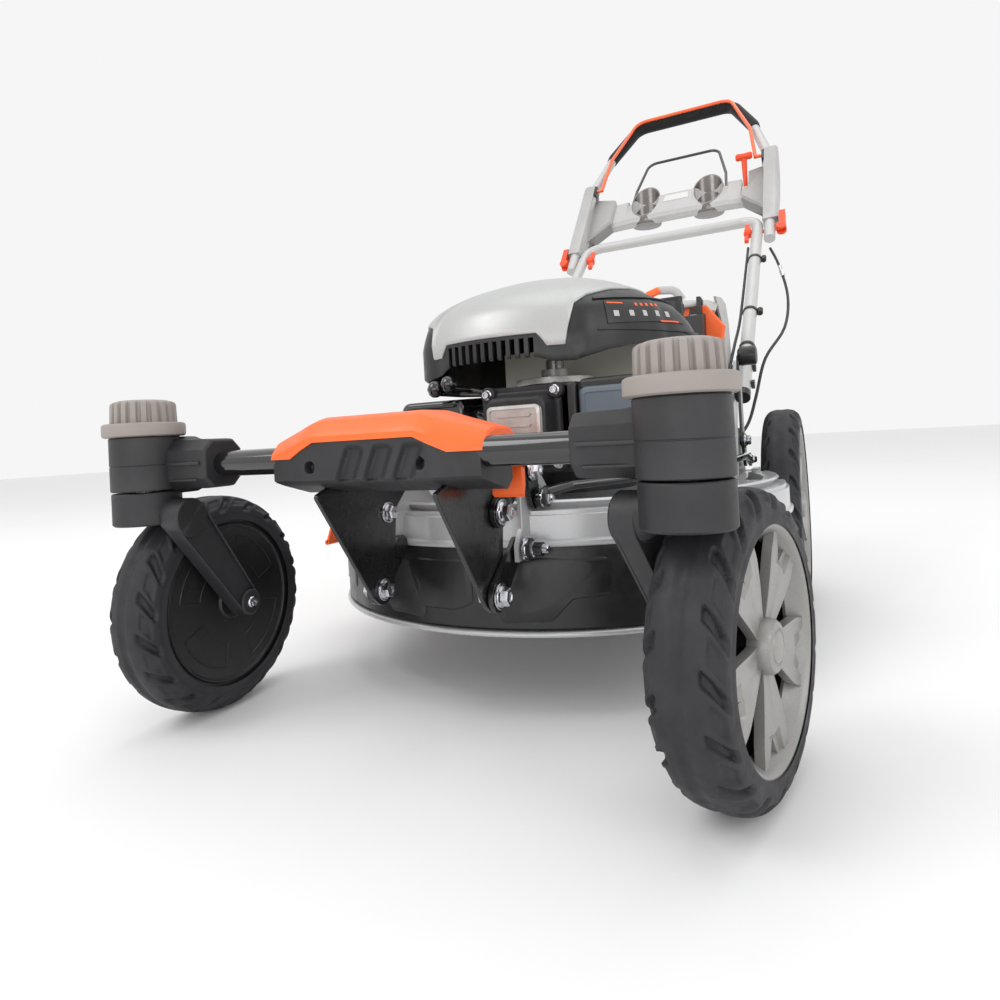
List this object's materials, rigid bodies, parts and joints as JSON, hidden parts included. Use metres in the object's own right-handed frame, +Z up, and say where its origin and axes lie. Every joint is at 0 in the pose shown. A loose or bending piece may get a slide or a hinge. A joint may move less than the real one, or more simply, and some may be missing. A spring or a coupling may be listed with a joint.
{
  "type": "walk-behind lawn mower",
  "caption": "Walk-behind petrol rotary mower with swivelling front casters on a levelling carriage, driven rear wheels, vertical-shaft engine and folding handle.",
  "frame": {"origin": "on the ground below the middle of the machine's bounding box", "axes": "+Z up, -Y to the front (casters), +Y to the operator, +X to the operator's left"},
  "size_m": [0.5836, 1.4592, 1.0667],
  "materials": {
    "deck_paint": "metallic silver",
    "black_paint": "gloss black powder coat",
    "tube_paint": "light grey powder coat",
    "black_plastic": "fine textured black",
    "grey_plastic": "light grey",
    "knob_plastic": "warm grey",
    "orange_plastic": "orange",
    "silver_plastic": "silver",
    "orange_paint": "orange",
    "tyre": "matt",
    "foam": "soft foam",
    "cast_aluminium": "as cast",
    "dark_casting": "painted dark",
    "steel": "machined",
    "zinc": "bright zinc",
    "belt": "matt",
    "tank": "natural"
  },
  "bodies": {
    "machine": {"deck_shell": "deck_paint", "front_skirt": "black_plastic", "rear_housing": "black_plastic", "gearbox": "steel", "drive_belt": "belt", "engine_block": "dark_casting", "valve_cover": "cast_aluminium", "muffler": "black_paint", "air_cleaner": "black_plastic", "fuel_tank": "tank", "engine_shroud": "black_plastic", "engine_top_cover": "silver_plastic", "lower_handle": "tube_paint", "lower_cables": "black_plastic", "handle_fittings": "black_plastic"},
    "lower_link": {"lower_links": "black_paint"},
    "upper_link": {"upper_links": "black_paint"},
    "link_rod": {"height_rod": "black_paint"},
    "carriage": {"cross_tube": "black_paint", "carriage_plates": "black_paint", "bumper_shell": "orange_plastic", "bumper_base": "black_plastic", "swivel_housings": "black_plastic", "link_bolts": "zinc"},
    "knob_left": {"lock_knob_left": "knob_plastic"},
    "knob_right": {"lock_knob_right": "knob_plastic"},
    "caster_left": {"caster_fork_left": "black_plastic"},
    "caster_right": {"caster_fork_right": "black_plastic"},
    "front_wheel_left": {"front_tyre_left": "tyre", "front_rim_left": "black_plastic", "front_cover_left": "silver_plastic"},
    "front_wheel_right": {"front_tyre_right": "tyre", "front_rim_right": "black_plastic", "front_cover_right": "silver_plastic"},
    "rear_axle": {"rear_arms": "black_paint"},
    "rear_wheel_left": {"rear_tyre_left": "tyre", "rear_rim_left": "black_plastic", "rear_cover_left": "silver_plastic"},
    "rear_wheel_right": {"rear_tyre_right": "tyre", "rear_rim_right": "black_plastic", "rear_cover_right": "silver_plastic"},
    "shaft": {"drive_shaft": "steel"},
    "crank": {"crankshaft": "steel", "flywheel": "steel", "blade": "steel"},
    "lever": {"height_lever": "black_paint"},
    "handle": {"upper_handle": "tube_paint", "foam_grip": "foam", "console": "grey_plastic", "clamp_nuts": "orange_plastic", "upper_cables": "black_plastic"},
    "brake": {"brake_bail": "orange_paint"},
    "drive": {"drive_bail": "black_paint"},
    "speed": {"speed_lever": "orange_plastic"},
    "cam_left": {"cam_lever_left": "orange_plastic"},
    "cam_right": {"cam_lever_right": "orange_plastic"},
    "flap_rear": {"rear_flap": "grey_plastic"},
    "flap_side": {"side_flap": "orange_plastic"},
    "tank_cap": {"fuel_cap": "black_plastic"},
    "starter": {"starter_grip": "black_plastic"}
  },
  "joints": [
    {"name": "height_lever_swing", "type": "hinge", "parent": "machine", "child": "lever", "pos_m": [0, -0.136, 0.223], "axis": [1, 0, 0], "range_deg": [-48, 18]},
    {"name": "lower_link_swing", "type": "hinge", "parent": "machine", "child": "lower_link", "pos_m": [0, -0.565, 0.148], "axis": [1, 0, 0], "range_deg": [-48, 18]},
    {"name": "upper_link_swing", "type": "hinge", "parent": "machine", "child": "upper_link", "pos_m": [0, -0.554, 0.215], "axis": [1, 0, 0], "range_deg": [-48, 18]},
    {"name": "link_rod_pivot", "type": "hinge", "parent": "upper_link", "child": "link_rod", "pos_m": [0, -0.546, 0.189], "axis": [1, 0, 0], "range_deg": [-18, 48]},
    {"name": "carriage_level", "type": "hinge", "parent": "lower_link", "child": "carriage", "pos_m": [0, -0.60302, 0.11553], "axis": [1, 0, 0], "range_deg": [-18, 48]},
    {"name": "rear_axle_swing", "type": "hinge", "parent": "machine", "child": "rear_axle", "pos_m": [0, -0.04998, 0.16347], "axis": [1, 0, 0], "range_deg": [-48, 18]},
    {"name": "knob_twist_left", "type": "hinge", "parent": "carriage", "child": "knob_left", "pos_m": [-0.235, -0.696, 0.268], "axis": [0, 0, 1], "range_deg": [0, 90]},
    {"name": "knob_twist_right", "type": "hinge", "parent": "carriage", "child": "knob_right", "pos_m": [0.235, -0.696, 0.268], "axis": [0, 0, 1], "range_deg": [0, 90]},
    {"name": "caster_swivel_left", "type": "hinge", "parent": "carriage", "child": "caster_left", "pos_m": [-0.235, -0.696, 0.2], "axis": [0, 0, 1], "continuous": true},
    {"name": "caster_swivel_right", "type": "hinge", "parent": "carriage", "child": "caster_right", "pos_m": [0.235, -0.696, 0.2], "axis": [0, 0, 1], "continuous": true},
    {"name": "front_wheel_spin_left", "type": "hinge", "parent": "caster_left", "child": "front_wheel_left", "pos_m": [-0.23988, -0.62617, 0.1015], "axis": [0.9976, 0.0698, 0], "continuous": true},
    {"name": "front_wheel_spin_right", "type": "hinge", "parent": "caster_right", "child": "front_wheel_right", "pos_m": [0.24955, -0.62753, 0.1015], "axis": [0.9781, -0.2079, 0], "continuous": true},
    {"name": "rear_wheel_spin_left", "type": "hinge", "parent": "rear_axle", "child": "rear_wheel_left", "pos_m": [-0.247, -0.088, 0.131], "axis": [1, 0, 0], "continuous": true},
    {"name": "rear_wheel_spin_right", "type": "hinge", "parent": "rear_axle", "child": "rear_wheel_right", "pos_m": [0.247, -0.088, 0.131], "axis": [1, 0, 0], "continuous": true},
    {"name": "drive_shaft_spin", "type": "hinge", "parent": "rear_axle", "child": "shaft", "pos_m": [0, -0.04998, 0.16347], "axis": [1, 0, 0], "continuous": true},
    {"name": "crank_spin", "type": "hinge", "parent": "machine", "child": "crank", "pos_m": [0, -0.296, 0.2], "axis": [0, 0, 1], "continuous": true},
    {"name": "handle_fold", "type": "hinge", "parent": "machine", "child": "handle", "pos_m": [0, 0.392, 0.637], "axis": [1, 0, 0], "range_deg": [0, 115]},
    {"name": "brake_bail_swing", "type": "hinge", "parent": "handle", "child": "brake", "pos_m": [0, 0.547, 0.84838], "axis": [1, 0, 0], "range_deg": [0, 40]},
    {"name": "drive_bail_swing", "type": "hinge", "parent": "handle", "child": "drive", "pos_m": [0, 0.56478, 0.79642], "axis": [1, 0, 0], "range_deg": [0, 16]},
    {"name": "speed_lever_swing", "type": "hinge", "parent": "handle", "child": "speed", "pos_m": [0.156, 0.55308, 0.78145], "axis": [1, 0, 0], "range_deg": [-8, 20]},
    {"name": "cam_lever_swing_left", "type": "hinge", "parent": "handle", "child": "cam_left", "pos_m": [-0.234, 0.392, 0.637], "axis": [0, -0.788, 0.6157], "range_deg": [0, 100]},
    {"name": "cam_lever_swing_right", "type": "hinge", "parent": "handle", "child": "cam_right", "pos_m": [0.234, 0.392, 0.637], "axis": [0, 0.788, -0.6157], "range_deg": [0, 100]},
    {"name": "rear_flap_swing", "type": "hinge", "parent": "machine", "child": "flap_rear", "pos_m": [0, -0.071, 0.424], "axis": [1, 0, 0], "range_deg": [0, 70], "stiffness_Nm_per_rad": 1.5, "springref_deg": -22.92},
    {"name": "side_flap_swing", "type": "hinge", "parent": "machine", "child": "flap_side", "pos_m": [-0.262, -0.336, 0.184], "axis": [0, 1, 0], "range_deg": [0, 85], "stiffness_Nm_per_rad": 0.15, "springref_deg": -28.65},
    {"name": "fuel_cap_twist", "type": "hinge", "parent": "machine", "child": "tank_cap", "pos_m": [0.132, -0.244, 0.39], "axis": [0, 0, 1], "range_deg": [0, 120]},
    {"name": "starter_pull", "type": "slide", "parent": "machine", "child": "starter", "axis": [0, 0, 1], "range_m": [0, 0.12]}
  ],
  "couplings": [
    {"joint": "lower_link_swing", "follows": "height_lever_swing", "ratio": 1},
    {"joint": "upper_link_swing", "follows": "height_lever_swing", "ratio": 1},
    {"joint": "link_rod_pivot", "follows": "height_lever_swing", "ratio": -1},
    {"joint": "carriage_level", "follows": "height_lever_swing", "ratio": -1},
    {"joint": "rear_axle_swing", "follows": "height_lever_swing", "ratio": 1},
    {"joint": "rear_wheel_spin_right", "follows": "rear_wheel_spin_left", "ratio": 1},
    {"joint": "drive_shaft_spin", "follows": "rear_wheel_spin_left", "ratio": 4.5714}
  ]
}
